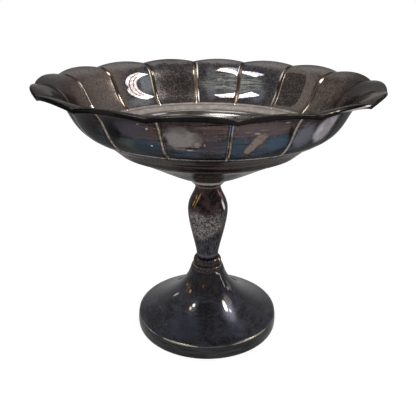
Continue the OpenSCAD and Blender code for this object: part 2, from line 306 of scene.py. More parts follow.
def plate(mat, colour, roughness, relief, relief_mm, metallic=1.0, skin=0.5, glancing="#6a6764"):
    """Finishes a material as tarnished plate: its sulphide skin dulls the glancing reflections."""
    bump = add_node(mat, "Bump", {"Height": relief, "Distance": relief_mm * MM, "Strength": 1.0})
    facing = add_node(mat, "LayerWeight", {"Blend": 0.5}, out=1)
    level = add_node(mat, "MapRange", {0: facing, 1: 0.5, 2: 0.95, 3: skin, 4: 0.0},
                     interpolation_type="SMOOTHSTEP")
    metal = add_node(mat, "BsdfPrincipled", {
        "Base Color": colour, "Roughness": roughness, "Metallic": metallic,
        "Specular IOR Level": level, "Specular Tint": glancing, "Normal": bump})
    add_node(mat, "OutputMaterial", {"Surface": metal})


# Tarnished silver plate, inside: a thin sulphide skin, brown-grey and finely speckled at the sides,
# still mirror-bright at the back where it was rubbed, paler on the shelf and worn to gold on the ribs.
# The lathe's lines and the wiping marks are drawn coarser than the real ones, so that they show.
inside = new_finish("tarnished_plate_inside_bowl")
space = place_in_mm(inside)
flat_map, up = unrolled(inside, space, WALL_MAP_R)
clouds = grain(inside, space, 22, 6.0, 0.6, 0.5)
mottle = grain(inside, space, 5, 5.0, 0.7, 0.3)
speckle = grain(inside, space, 1.5, 3.0, 0.8)
ragged = grain(inside, space, 3.5)
wiped = grain(inside, space, 1.3, 4.0, 0.65, 0.4, lay=(9.0, 9.0, 1.0))
lathe = grain(inside, space, 0.8, 3.0, 0.6, lay=(30.0, 30.0, 1.0))
down, rolled, from_rib = mesh_shares(inside)
body = toned(inside, clouds, 0.38, 0.62, "#433b37", "#564d48")
left = spot(inside, flat_map, ragged, 152, 172, 58, 40, soft=0.4)
body = laid(inside, body, left, 0.7, "#665d59")
body = toned(inside, mottle, 0.5, 0.64, body, "#6b5f57", 0.5)

# The back wall has a pale lip, a painted dark reflection and a painted streak of pale reflected light.
back = spot(inside, flat_map, ragged, 90, 188, 135, 40, soft=0.1, fray=0.0)
lip = add_node(inside, "MapRange", {0: down, 1: 0.28, 2: 0.08, 4: back}, interpolation_type="SMOOTHSTEP")
body = laid(inside, body, lip, 0.85, "#949191")
mirror = spot(inside, flat_map, ragged, 87.5, 170, 70, 18, soft=0.12, square=True)
dark_reflection_tone = toned(inside, clouds, 0.4, 0.6, "#393433", "#34353d")
body = laid(inside, body, mirror, 0.9, dark_reflection_tone)
lit = spot(inside, flat_map, ragged, 70, 173, 25, 7.5, soft=0.45)
lit_tone = toned(inside, wiped, 0.4, 0.62, "#555755", "#a9aca8")
body = laid(inside, body, lit, 0.85, lit_tone)
# Bluish-grey rows are painted reflections, the white bar a painted highlight, the others tarnish tones.
haze_and_reflections = (
    (116.5, 174.5, 6.0, 7.5, "#858b90", 0.8), (122.5, 162.0, 11, 3.0, "#8a8c90", 0.6),
    (82, 181.5, 4.0, 4.5, "#777a80", 0.5), (81.5, 166, 4.5, 4.5, "#777a80", 0.6),
    (56, 166, 7.0, 5.0, "#7a7d88", 0.45), (50.5, 175, 5.5, 8.0, "#33333a", 0.5),
    (101.2, 173, 17, 17, "#262221", 0.75), (-30, 188, 20, 9, "#7d746f", 0.7),
    (5, 178, 16, 8, "#6b625d", 0.3), (73.5, 184.1, 7.0, 1.3, "#f2f2f2", 0.85))
body = marked(inside, body, flat_map, ragged, haze_and_reflections, soft=0.5, fray=0.6)

# One flute on the right has a dark patch with a paler surround. Over it all lies a fine speckle.
halo = spot(inside, flat_map, ragged, 35.5, 172.6, 18, 14, soft=0.15, fray=0.3, square=True)
body = laid(inside, body, halo, 0.65, "#6f655f")
dark = spot(inside, flat_map, ragged, 38.6, 172.8, 12.8, 12.2, soft=0.05, fray=0.1, square=True)
body = laid(inside, body, dark, 0.9, "#2e2928")
body = toned(inside, speckle, 0.5, 0.62, body, "#231e1d", 0.5)
body = toned(inside, speckle, 0.48, 0.38, body, "#7d7671", 0.3)
body = toned(inside, wiped, 0.56, 0.7, body, "#7f7b77", 0.25)

# Under the wall come the pale shelf, the dark turned cone and the dull dish, with painted highlight streaks.
shelf_tone = toned(inside, mottle, 0.4, 0.62, "#918782", "#a59c96")
cone_tone = toned(inside, lathe, 0.42, 0.6, "#302d2b", "#57534f")
dish_tone = toned(inside, clouds, 0.4, 0.6, "#4a4542", "#655f5b")
dish_tone = toned(inside, lathe, 0.45, 0.6, dish_tone, "#7d7772", 0.3)
cone_tone = toned(inside, up, 149.0, 146.0, cone_tone, dish_tone)
floor_tone = toned(inside, up, 154.4, 153.6, shelf_tone, cone_tone)
brink = window(inside, up, 153.7, 154.1, 154.4, 154.9)
floor_tone = laid(inside, floor_tone, brink, 0.6, "#453e3a")
# These streak rows are painted highlights.
HIGHLIGHT_TONE = "#b5b2ae"
floor_highlights = (
    (117.5, 153.2, 11, 0.5, HIGHLIGHT_TONE, 0.9), (94, 154.0, 24, 0.3, HIGHLIGHT_TONE, 0.6),
    (70, 153.4, 23, 0.4, HIGHLIGHT_TONE, 0.9), (74, 151.3, 19, 0.45, HIGHLIGHT_TONE, 0.85),
    (84, 150.0, 22, 0.5, HIGHLIGHT_TONE, 0.45), (110, 151.6, 18, 0.6, HIGHLIGHT_TONE, 0.35))
floor_tone = marked(inside, floor_tone, flat_map, ragged, floor_highlights, soft=0.3, fray=0.6)
body = toned(inside, down, 0.985, 1.0, body, floor_tone)

# The ribs are brown, with painted shade along both sides, wear in places and painted highlights.
on_wall = window(inside, down, 0.03, 0.1, 1.0, 1.03)
painted_rib_shade = window(inside, from_rib, 0.3, 0.38, 0.42, 0.55)
painted_rib_shade = add_node(inside, "Math", {0: painted_rib_shade, 1: on_wall}, operation="MULTIPLY")
body = laid(inside, body, painted_rib_shade, 0.6, "#26221f")
on_rib = add_node(inside, "MapRange", {0: from_rib, 1: 0.38, 2: 0.26}, interpolation_type="SMOOTHSTEP")
brown = spot(inside, flat_map, ragged, 78.5, 172, 26, 15)
rib_tone = laid(inside, "#322a26", brown, 1.0, "#54463c")
body = laid(inside, body, on_rib, on_wall, rib_tone)
# White and cream rows are painted highlights, tan rows wear to the brass and dark rows darken a rib.
wear_and_highlights = (
    (90.5, 180.5, 0.5, 6.5, "#86765f", 0.85), (90.7, 181.5, 0.5, 1.6, "#d3c4a6", 0.9),
    (88.8, 183.0, 0.45, 5.5, "#f0f3f3", 0.95), (90.3, 163.5, 0.5, 5.5, "#9c8c78", 0.85),
    (88.7, 163.5, 0.5, 4.5, "#f2f4f4", 0.95), (113.4, 176, 0.4, 9.5, "#c4baa6", 0.85),
    (112.0, 182, 0.9, 1.6, "#ddd2b8", 0.9), (112.3, 162.3, 0.55, 4.4, "#ddd5c4", 0.9),
    (135.6, 184.8, 0.8, 1.2, "#a98a7b", 0.9), (136.2, 175, 0.9, 6.0, "#453c38", 0.6),
    (135.2, 165.3, 0.6, 3.8, "#dccfb4", 0.9), (157.7, 181.8, 0.5, 2.2, "#7f8289", 0.8),
    (157.6, 173.5, 0.35, 7.5, "#ab9f92", 0.8), (157.8, 166.4, 0.7, 0.9, "#ebe8e2", 0.9),
    (67.5, 174, 1.3, 6.5, "#2b211c", 0.8), (68.3, 184, 0.5, 3.0, "#dfe3e6", 0.9),
    (67.4, 161.8, 0.7, 3.2, "#8f7b6a", 0.6), (45.5, 182.2, 0.75, 4.4, "#fafafa", 1.0),
    (45.6, 165.0, 0.8, 5.8, "#fafaf8", 1.0), (43.9, 173, 0.35, 13, "#857869", 0.7),
    (21.8, 183, 0.8, 1.5, "#bda98f", 0.95), (22.3, 173, 0.3, 8.0, "#6f645b", 0.5),
    (22.0, 162.6, 0.3, 3.2, "#a59683", 0.8), (-0.4, 184, 0.9, 4.0, "#1d1a19", 0.8))
body = marked(inside, body, flat_map, ragged, wear_and_highlights, soft=0.4, fray=0.4, within=on_wall)

# The rolled edge is black, with a painted pinkish-white highlight and a few small painted glints.
edge_tone = toned(inside, clouds, 0.4, 0.6, "#161515", "#222120")
body = toned(inside, rolled, 0.04, 0.16, body, edge_tone)
on_edge = add_node(inside, "MapRange", {0: rolled, 1: 0.1, 2: 0.2}, interpolation_type="SMOOTHSTEP")
rubbed_and_glints = (
    (-52.5, 188.9, 12, 0.6, "#cfc3c6", 0.9), (-37.3, 190.9, 1.8, 0.6, "#b9b7b4", 0.9),
    (-64.5, 189.7, 0.8, 0.5, "#6d5c4c", 0.9), (-62.3, 189.8, 0.9, 0.5, "#505551", 0.9))
body = marked(inside, body, flat_map, ragged, rubbed_and_glints, soft=0.4, fray=0.6, within=on_edge)

# Two stretches of the back wall are smooth enough to mirror the lamps. The flute between them is matt.
mirror_left = spot(inside, flat_map, ragged, 123.9, 173, 18.6, 17, soft=0.06, fray=0.0, square=True)
mirror_right = spot(inside, flat_map, ragged, 67.2, 173, 37.4, 17, soft=0.04, fray=0.0, square=True)
smooth = add_node(inside, "Math", {0: mirror_left, 1: mirror_right}, operation="MAXIMUM")
matt = spot(inside, flat_map, ragged, 101.2, 173, 18.2, 17, soft=0.05, fray=0.0, square=True)
roughness = 0.2
for value, low, high, rough in (
        (matt, 0.0, 1.0, 0.36), (smooth, 0.0, 1.0, 0.05),
        (from_rib, 0.5, 0.42, 0.36), (down, 0.99, 1.02, 0.28)):
    roughness = add_node(inside, "MapRange", {0: value, 1: low, 2: high, 3: roughness, 4: rough},
                         interpolation_type="SMOOTHSTEP")
dents = grain(inside, space, 9, 1.0, 0.5)
edge_skin = add_node(inside, "MapRange", {0: rolled, 2: 0.12, 3: 0.3, 4: 0.03},
                     interpolation_type="SMOOTHSTEP")
plate(inside, body, roughness, dents, 0.004, metallic=0.75, skin=edge_skin)
bowl.data.materials.append(inside)

# Tarnished silver plate, outside: blue-black and brown bands round the bowl, where polish was wiped
# along it, with tan grooves and a few places rubbed back to pale metal by handling. The wiping marks
# are drawn coarser than the real ones, so that they show.
outside = new_finish("tarnished_plate_outside_bowl")
space = place_in_mm(outside)
flat_map, up = unrolled(outside, space, WALL_MAP_R)
clouds = grain(outside, space, 18, 5.0, 0.6, 0.5)
speckle = grain(outside, space, 1.3, 4.0, 0.7)
ragged = grain(outside, space, 3.0, 4.0, 0.65)
wiped = grain(outside, space, 1.5, 4.0, 0.62, 0.3, lay=(14.0, 14.0, 1.0))
down, rolled, from_rib = mesh_shares(outside)
drift = add_node(outside, "Math", {0: ragged, 1: 9.0, 2: up}, operation="MULTIPLY_ADD")
low_tone = toned(outside, clouds, 0.4, 0.6, "#2d3237", "#3a4550")
high_tone = toned(outside, clouds, 0.4, 0.6, "#312c2f", "#463b3c")
body = toned(outside, drift, 177.0, 181.0, low_tone, high_tone)
body = toned(outside, wiped, 0.53, 0.62, body, "#625049", 0.65)
body = toned(outside, wiped, 0.46, 0.38, body, "#191717", 0.8)
body = toned(outside, speckle, 0.54, 0.66, body, "#7a7370", 0.4)
# The near-black wedge at -130.5 degrees is painted shade; the other rows are stains.
stains_and_shade = (
    (-78, 179.5, 19, 4.6, "#66595a", 0.6), (-73, 169.6, 7.0, 5.0, "#455664", 0.75),
    (-87, 167.5, 4.0, 5.0, "#33414e", 0.7), (-119, 173.2, 13, 1.3, "#50403c", 0.7, -4),
    (-130.5, 174.5, 5.0, 7.2, "#0e0c0c", 0.97, -28), (-144, 175, 9, 10, "#2a2120", 0.85),
    (-124.5, 164.6, 11, 4.8, "#565a56", 0.7, -14), (-119, 167, 9, 4.5, "#2e3b46", 0.7),
    (-123.5, 179, 11, 5.0, "#44424a", 0.8), (-96.5, 169, 8, 4.5, "#453e43", 0.6),
    (-62, 171, 8, 7.5, "#6a6a73", 0.85, 10), (-114.9, 176.5, 1.5, 4.6, "#4b3830", 0.5, 10),
    (-69.3, 176.3, 1.4, 3.6, "#15100f", 0.7, 20), (-92.0, 180.6, 1.3, 1.2, "#6d503b", 0.25),
    (-88.2, 180.0, 1.1, 1.4, "#6d503b", 0.25))
body = marked(outside, body, flat_map, ragged, stains_and_shade, soft=0.4, fray=1.2)

# Patches rubbed to pale metal, each with a brown stain round it. A row is azimuth, height, half width,
# half height, lean and the patch's two colours. The last table holds small chips.
STAIN_RIM = 0.9
rubs = (
    (-101.9, 173.8, 4.8, 4.6, -20, "#48403f", "#625b58"),
    (-106.3, 174.2, 7.4, 7.0, 0, "#5c5754", "#7c7673"), (-100.4, 170.5, 2.0, 1.5, 0, "#5e5955", "#7d7874"),
    (-83.0, 167.6, 3.8, 2.4, 45, "#574c49", "#7d706a"), (-80.4, 173.0, 5.0, 2.9, 42, "#574c49", "#7d706a"),
    (-52.3, 174.6, 9.6, 8.6, 40, "#a8a3a8", "#d0cbd1"))
for azimuth, height, wide, high, lean, *_ in rubs:
    stain = spot(outside, flat_map, ragged, azimuth, height, wide + STAIN_RIM, high + STAIN_RIM, lean,
                 soft=0.3, fray=2.2)
    body = laid(outside, body, stain, 0.6, "#221a19")
for azimuth, height, wide, high, lean, dull, pale in rubs:
    rubbed_and_glints = spot(outside, flat_map, ragged, azimuth, height, wide, high, lean,
                  soft=0.25, fray=min(2.2, 6 / wide))
    tone = toned(outside, clouds, 0.36, 0.6, dull, pale)
    tone = toned(outside, speckle, 0.52, 0.62, tone, dull, 0.4)
    body = laid(outside, body, rubbed_and_glints, 0.95, tone)
chips = (
    (-119.2, 181.1, 0.5, 0.3, "#a5a19c", 0.8), (-116.6, 178.6, 0.6, 0.45, "#c9c5c0", 0.8),
    (-116.5, 168.1, 0.6, 0.45, "#c9c5c0", 0.8), (-104.3, 168.3, 5.5, 0.55, "#1c1311", 0.8),
    (-102.2, 169.0, 1.1, 0.3, "#8f694a", 0.8), (-105.3, 168.0, 1.0, 0.3, "#85654f", 0.8),
    (-103.2, 166.9, 1.8, 0.3, "#b5aca4", 0.8), (-98.3, 170.4, 0.5, 0.8, "#8f7d6c", 0.8),
    (-81.6, 177.0, 1.6, 0.5, "#a2968c", 0.8), (-72.5, 182.6, 1.2, 0.4, "#a89a8e", 0.8),
    (-79.6, 179.0, 2.6, 0.3, "#7c6d64", 0.8), (-84.6, 178.0, 2.0, 0.3, "#7c6d64", 0.8))
body = marked(outside, body, flat_map, ragged, chips, soft=0.5, fray=1.0)

# Under the flutes the sheet is wiped brown with a duller dish; the ledge's rings are painted highlights and
# shade.
under_tone = toned(outside, wiped, 0.42, 0.6, "#2c3238", "#705f55")
body = toned(outside, down, 1.0, 1.03, body, under_tone)
patchy = add_node(outside, "MapRange", {0: ragged, 1: 0.35, 2: 0.55, 3: 0.45, 4: 0.95},
                  interpolation_type="SMOOTHSTEP")
for height, half, tone in (
        (160.6, 0.3, "#1c1818"), (159.2, 0.4, "#e0dad4"), (157.6, 0.35, "#1f1c1c"),
        (153.0, 0.3, "#8b6543"), (150.2, 0.6, "#7c736d"), (147.0, 0.7, "#1c1918")):
    body = laid(outside, body, band(outside, up, height, half, 0.3), patchy, tone)
dish_tone = toned(outside, wiped, 0.38, 0.62, "#433e3b", "#7c756f")
dish_tone = toned(outside, speckle, 0.52, 0.64, dish_tone, "#8f8882", 0.5)
body = toned(outside, up, 146.5, 145.5, body, dish_tone)

# The grooves hold tan polish, palest along their middles, with painted shade along their sides.
on_wall = window(outside, down, 0.1, 0.2, 0.99, 1.02)
painted_groove_shade = add_node(outside, "MapRange", {0: ragged, 1: 0.4, 2: 0.6, 4: on_wall},
                 interpolation_type="SMOOTHSTEP")
painted_groove_shade = add_node(outside, "MapRange", {0: from_rib, 1: 0.6, 2: 0.4, 4: painted_groove_shade},
                 interpolation_type="SMOOTHSTEP")
body = laid(outside, body, painted_groove_shade, 0.7, "#1b1412")
groove = add_node(outside, "MapRange", {0: ragged, 1: 0.3, 2: 0.55, 3: 0.5},
                  interpolation_type="SMOOTHSTEP")
groove = add_node(outside, "MapRange", {0: from_rib, 1: 0.34, 2: 0.22, 4: groove},
                  interpolation_type="SMOOTHSTEP")
groove_tone = toned(outside, ragged, 0.4, 0.58, "#6b6055", "#9d9082")
groove_tone = toned(outside, from_rib, 0.16, 0.04, groove_tone, "#d8cbb6")
along = (
    (-90, 181, 3, 5, "#7c90a4", 0.85), (-67.5, 173, 4, 16, "#8b8a88", 0.7),
    (-45, 173, 4, 18, "#262022", 0.9), (-135, 176, 4, 12, "#857a6d", 0.5))
groove_tone = marked(outside, groove_tone, flat_map, ragged, along, soft=0.3, fray=0.5)
body = laid(outside, body, groove, on_wall, groove_tone)
body = toned(outside, rolled, 0.04, 0.16, body, "#171717")
roughness = add_node(outside, "MapRange", {0: clouds, 1: 0.3, 2: 0.7, 3: 0.14, 4: 0.28},
                     interpolation_type="SMOOTHSTEP")
relief = add_node(outside, "Math", {0: speckle, 1: 0.35, 2: clouds}, operation="MULTIPLY_ADD")
plate(outside, body, roughness, relief, 0.03, metallic=0.7, skin=0.12, glancing="#42403d")
bowl.data.materials.append(outside)

# Rim wire
# A plain drawn iron wire that stiffens the edge. The sheet is rolled round it, so it is hidden.
# Drawing leaves it a dull grey-brown, with fine lines along it.
WIRE_MAP_R = 115
wire_finish = new_finish("drawn_iron_wire")
flat_map, _ = unrolled(wire_finish, place_in_mm(wire_finish), WIRE_MAP_R)
drawn = grain(wire_finish, flat_map, 0.4, 3.0, 0.6, lay=(20.0, 1.0, 1.0))
body = toned(wire_finish, drawn, 0.35, 0.65, "#4a4542", "#6b6560")
plate(wire_finish, body, 0.4, drawn, 0.01)
rim_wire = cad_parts["rim_wire"]
rim_wire.data.materials.clear()
rim_wire.data.materials.append(wire_finish)

# Collar and neck ring
# Two turned rings between bowl and stem: a plain collar that seats the bowl and a tapered ring that
# brings its width down to the stem's neck. Their edges are rubbed paler than their faces.
BOSS_HOLE_R = 7.1 * MM
COLLAR_TAPER = 0.96 * MM
COLLAR_ROUND = 0.35 * MM
NECK_R = 9.4 * MM
NECK_LIP_W, NECK_LIP_H = 0.45 * MM, 0.9 * MM
RING_ROUND = 0.3 * MM
RING_COLS = 96
CORNER_MOST = 0.45
CORNER_HANDLE = 0.45


def ring_of(node, name, section):
    """A turned piece that stands for a CAD node, from its outline in the XZ plane."""
    piece = turned(name, section, RING_COLS, closed=True)
    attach(piece, "root")
    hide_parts(node)
    return piece


def rounded(points, radius, steps=3):
    """An outline whose corners are rounded, as points in the XZ plane."""
    corners = [Vector((r, 0, z)) for r, z in points]
    out = []
    for before, p, after in zip(corners[-1:] + corners, corners, corners[1:] + corners[:1]):
        cut = min(radius, (before - p).length * CORNER_MOST, (after - p).length * CORNER_MOST)
        back = (before - p).normalized() * cut
        ahead = (after - p).normalized() * cut
        out += interpolate_bezier(
            p + back, p + back * CORNER_HANDLE, p + ahead * CORNER_HANDLE, p + ahead, steps + 1)
    return out


collar_low, collar_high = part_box("collar")
collar_r = collar_high.x
collar = ring_of("collar", "bowl_collar", rounded([
    (BOSS_HOLE_R, collar_low.z), (collar_r - COLLAR_TAPER, collar_low.z),
    (collar_r, collar_low.z + COLLAR_TAPER), (collar_r, collar_high.z),
    (BOSS_HOLE_R, collar_high.z)], COLLAR_ROUND))
neck_low, neck_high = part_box("neck_ring")
neck_ring = ring_of("neck_ring", "tapered_neck_ring", rounded([
    (BOSS_HOLE_R, neck_low.z), (NECK_R, neck_low.z), (NECK_R + NECK_LIP_W, neck_low.z + NECK_LIP_H),
    (collar_r - COLLAR_TAPER, neck_high.z), (BOSS_HOLE_R, neck_high.z)], RING_ROUND))

# Rubbed plate: brown-grey with fine turned lines, pale on the edges and dark in the joints between rings.
# The lines are drawn coarser than the real ones, so that they show.
ring_finish = new_finish("rubbed_plate_rings")
space = place_in_mm(ring_finish)
up = add_node(ring_finish, "SeparateXYZ", {0: space}, out=2)
clouds = grain(ring_finish, space, 5)
turned_lines = grain(ring_finish, space, 0.5, 3.0, lay=(25.0, 25.0, 1.0))
speckle = grain(ring_finish, space, 0.9, 3.0, 0.7)
body = toned(ring_finish, clouds, 0.38, 0.62, "#463e3a", "#665d57")
body = toned(ring_finish, turned_lines, 0.5, 0.66, body, "#857c74", 0.7)
for height, half, tone in ((119.3, 0.9, "#a69e94"), (117.2, 0.3, "#1b1716"), (114.6, 0.6, "#a0918f")):
    body = laid(ring_finish, body, band(ring_finish, up, height, half, 0.25), 0.85, tone)
body = toned(ring_finish, speckle, 0.53, 0.62, body, "#2a2422", 0.5)
roughness = add_node(ring_finish, "MapRange", {0: clouds, 1: 0.3, 2: 0.7, 3: 0.2, 4: 0.34},
                     interpolation_type="SMOOTHSTEP")
plate(ring_finish, body, roughness, speckle, 0.02, metallic=0.4, skin=0.2)
collar.data.materials.append(ring_finish)
neck_ring.data.materials.append(ring_finish)

# Stem
# A hollow baluster, spun from brass tube and plated, open above where the boss enters it and closed
# below by a drilled web. Its tarnish is the glossiest, with two patches rubbed back towards the silver.
STEM_FOOT_R = 8.2 * MM
STEM_WALL = 1.2 * MM
WEB = 1.8 * MM
ROD_HOLE_R = 3.2 * MM
BELLY_SHARE = 0.675
STEM_MAP_R = 12
stem_low, stem_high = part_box("stem")
stem_l = stem_high.z - stem_low.z
belly_r = stem_high.x
belly_z = stem_low.z + BELLY_SHARE * stem_l
outer = curve((STEM_FOOT_R, stem_low.z), (STEM_FOOT_R, stem_low.z + 0.145 * stem_l),
              (belly_r, belly_z - 0.205 * stem_l), (belly_r, belly_z), 26)
outer += curve((belly_r, belly_z), (belly_r, belly_z + 0.165 * stem_l),
               (NECK_R, stem_high.z - 0.092 * stem_l), (NECK_R, stem_high.z), 20)[1:]
inner = [Vector((p.x - STEM_WALL, 0, p.z)) for p in reversed(outer) if p.z > stem_low.z + WEB]
stem = ring_of("stem", "baluster_stem", outer + inner + [
    Vector((STEM_FOOT_R - STEM_WALL, 0, stem_low.z + WEB)), Vector((ROD_HOLE_R, 0, stem_low.z + WEB)),
    Vector((ROD_HOLE_R, 0, stem_low.z))])

# Glossy tarnish: brown-black above and streaked blue-grey below, with a strong and a faint silver patch,
# both speckled. Its thin gold and pink glints are painted highlights.
stem_finish = new_finish("glossy_tarnish_stem")
space = place_in_mm(stem_finish)
flat_map, up = unrolled(stem_finish, space, STEM_MAP_R)
clouds = grain(stem_finish, space, 7, 5.0, 0.6, 0.5)
speckle = grain(stem_finish, space, 1.0, 4.0, 0.75)
worms = grain(stem_finish, space, 1.3, 2.0, 0.5, 1.2)
ragged = grain(stem_finish, space, 2.5)
upright = grain(stem_finish, space, 1.0, 4.0, 0.6, lay=(1.0, 1.0, 12.0))
body = toned(stem_finish, clouds, 0.42, 0.58, "#191516", "#3a2c2b")
low_tone = toned(stem_finish, upright, 0.42, 0.62, "#24252b", "#4b4b52")
body = toned(stem_finish, up, 80.0, 70.0, body, low_tone)
body = toned(stem_finish, speckle, 0.54, 0.66, body, "#625a58", 0.5)
pale = toned(stem_finish, worms, 0.46, 0.56, "#262324", "#7f7976")
pale = toned(stem_finish, speckle, 0.53, 0.62, pale, "#a9a4a2", 0.7)
rubbed_and_glints = spot(stem_finish, flat_map, ragged, -134, 85.5, 15.0, 10.8, soft=0.25, fray=0.8, radius=STEM_MAP_R)
body = laid(stem_finish, body, rubbed_and_glints, 0.9, pale)
rubbed_and_glints = spot(stem_finish, flat_map, ragged, -60, 89.5, 6.5, 9.0, soft=0.4, fray=1.0, radius=STEM_MAP_R)
body = laid(stem_finish, body, rubbed_and_glints, 0.5, pale)
knop_tone = toned(stem_finish, speckle, 0.48, 0.64, "#272424", "#5a5450")
body = toned(stem_finish, up, 57.5, 56.8, body, knop_tone)
# The lilac band low on the stem is a painted highlight; the pale line is at the knop's joint.
for height, half, tone in ((59.3, 0.8, "#565360"), (50.1, 0.3, "#8b8680")):
    body = laid(stem_finish, body, band(stem_finish, up, height, half, 0.2), 0.8, tone)
glints = (
    (-131, 108.0, 0.45, 3.6, "#a88344", 1.0, -14), (-146, 103.5, 0.5, 2.4, "#977538", 1.0, -12),
    (-139, 102.0, 0.35, 2.2, "#7d6330", 1.0, -12), (-46, 110.5, 0.45, 2.6, "#a8807c", 1.0, 14),
    (-43, 101.8, 0.9, 3.8, "#e8dcdc", 1.0, 6), (-32, 54.5, 0.8, 1.6, "#c9a76a", 1.0))
body = marked(stem_finish, body, flat_map, ragged, glints, soft=0.3, fray=1.0, radius=STEM_MAP_R)
roughness = add_node(stem_finish, "MapRange", {0: clouds, 1: 0.3, 2: 0.7, 3: 0.08, 4: 0.18},
                     interpolation_type="SMOOTHSTEP")
plate(stem_finish, body, roughness, speckle, 0.02, metallic=0.6, skin=0.25, glancing="#5a5856")
stem.data.materials.append(stem_finish)

# Knop ring and foot ring
# A turned ring with a rounded shoulder under the stem, and a tapered one on the foot's crown. Both are
# plated brass with the stem's tarnish.
KNOP_ROUND = 0.4 * MM
FOOT_RING_R = 12 * MM
FOOT_RING_TAPER_W, FOOT_RING_TAPER_H = 0.52 * MM, 1.05 * MM
knop_low, knop_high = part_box("knop_ring")
knop_r = knop_high.x
knop_h = knop_high.z - knop_low.z
shoulder = curve((knop_r, knop_high.z - 0.6 * knop_h), (knop_r, knop_high.z - 0.3 * knop_h),
                 ((knop_r + STEM_FOOT_R) / 2, knop_high.z), (STEM_FOOT_R, knop_high.z), 12)
knop = ring_of("knop_ring", "knop_ring_turned", [
    Vector((ROD_HOLE_R, 0, knop_low.z)), Vector((knop_r - KNOP_ROUND, 0, knop_low.z)),
    Vector((knop_r, 0, knop_low.z + KNOP_ROUND))] + shoulder + [
    Vector((ROD_HOLE_R, 0, knop_high.z))])
knop.data.materials.append(stem_finish)
foot_ring_low, foot_ring_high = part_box("foot_ring")
crown_r = foot_ring_high.x
foot_ring = ring_of("foot_ring", "tapered_foot_ring", rounded([
    (ROD_HOLE_R, foot_ring_low.z), (crown_r, foot_ring_low.z),
    (FOOT_RING_R, foot_ring_high.z - FOOT_RING_TAPER_H),
    (FOOT_RING_R - FOOT_RING_TAPER_W, foot_ring_high.z),
    (ROD_HOLE_R, foot_ring_high.z)], RING_ROUND))
foot_ring.data.materials.append(stem_finish)

# Foot
# A trumpet spun from one disc of brass: a drilled crown, a sweeping flare, a sharp crease, an upright
# band and a flat lip turned in underneath. The crease is worn bright where cloths have rubbed it.
FOOT_WALL = 1.0 * MM
CROWN_WALL = 1.2 * MM
FOOT_R = 54.8 * MM
CREASE_IN = 0.5 * MM
EDGE_H = 9.9 * MM
EDGE_FOOT_H = 0.5 * MM
EDGE_BULGE = 0.4 * MM
EDGE_ROUND = 0.15 * MM
LIP_W = 4 * MM
FOOT_MAP_R = 54
foot_top_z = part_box("foot")[1].z
crease_r = FOOT_R - CREASE_IN
flare_w = crease_r - crown_r
flare_h = foot_top_z - EDGE_H
flare = curve((crown_r, foot_top_z), (crown_r + 0.09 * flare_w, foot_top_z - 0.405 * flare_h),
              (crease_r - 0.55 * flare_w, EDGE_H + 0.25 * flare_h), (crease_r, EDGE_H), 40)
edge = [Vector((crease_r + CREASE_IN * t + EDGE_BULGE * math.sin(math.pi * t), 0,
                EDGE_H + (EDGE_FOOT_H - EDGE_H) * t)) for t in [i / 12 for i in range(1, 13)]]
outer = flare + edge
inner = []
for i, p in enumerate(outer):
    way = (outer[min(i + 1, len(outer) - 1)] - outer[max(i - 1, 0)]).normalized()
    q = p + Vector((way.z, 0, -way.x)) * FOOT_WALL
    inner.append(Vector((q.x, 0, max(min(q.z, foot_top_z - CROWN_WALL), FOOT_WALL))))
foot = ring_of("foot", "trumpet_foot", [Vector((ROD_HOLE_R, 0, foot_top_z))] + outer + [
    Vector((FOOT_R - EDGE_ROUND, 0, EDGE_ROUND)), Vector((crease_r, 0, 0)),
    Vector((FOOT_R - LIP_W, 0, 0)), Vector((FOOT_R - LIP_W, 0, FOOT_WALL))] + inner[::-1] + [
    Vector((ROD_HOLE_R, 0, foot_top_z - CROWN_WALL))])

# Blue-black tarnish: soft clouds and fine speckle, browner up the neck. On the flare, glints, gold and brown
# flecks and a line of light are painted highlights, and bluish patches round them painted reflections.
foot_finish = new_finish("blue_black_tarnish_foot")
space = place_in_mm(foot_finish)
flat_map, up = unrolled(foot_finish, space, FOOT_MAP_R)
clouds = grain(foot_finish, space, 12, 6.0, 0.65, 0.5)
speckle = grain(foot_finish, space, 1.2, 4.0, 0.7)
ragged = grain(foot_finish, space, 3.0)
wiped = grain(foot_finish, space, 1.6, 4.0, 0.62, 0.3, lay=(10.0, 10.0, 1.0))
body = toned(foot_finish, clouds, 0.38, 0.62, "#28282b", "#3a3b45")
body = toned(foot_finish, wiped, 0.5, 0.66, body, "#4b4c53", 0.4)
body = toned(foot_finish, speckle, 0.52, 0.66, body, "#555454", 0.6)
body = toned(foot_finish, speckle, 0.46, 0.36, body, "#1b1b1d", 0.5)
neck_tone = toned(foot_finish, ragged, 0.4, 0.6, "#1c1a1c", "#332c2b")
body = toned(foot_finish, up, 26.0, 36.0, body, neck_tone, 0.7)
edge_tone = toned(foot_finish, wiped, 0.4, 0.6, "#2b2b2d", "#3f403f")
body = toned(foot_finish, up, 9.4, 8.4, body, edge_tone)
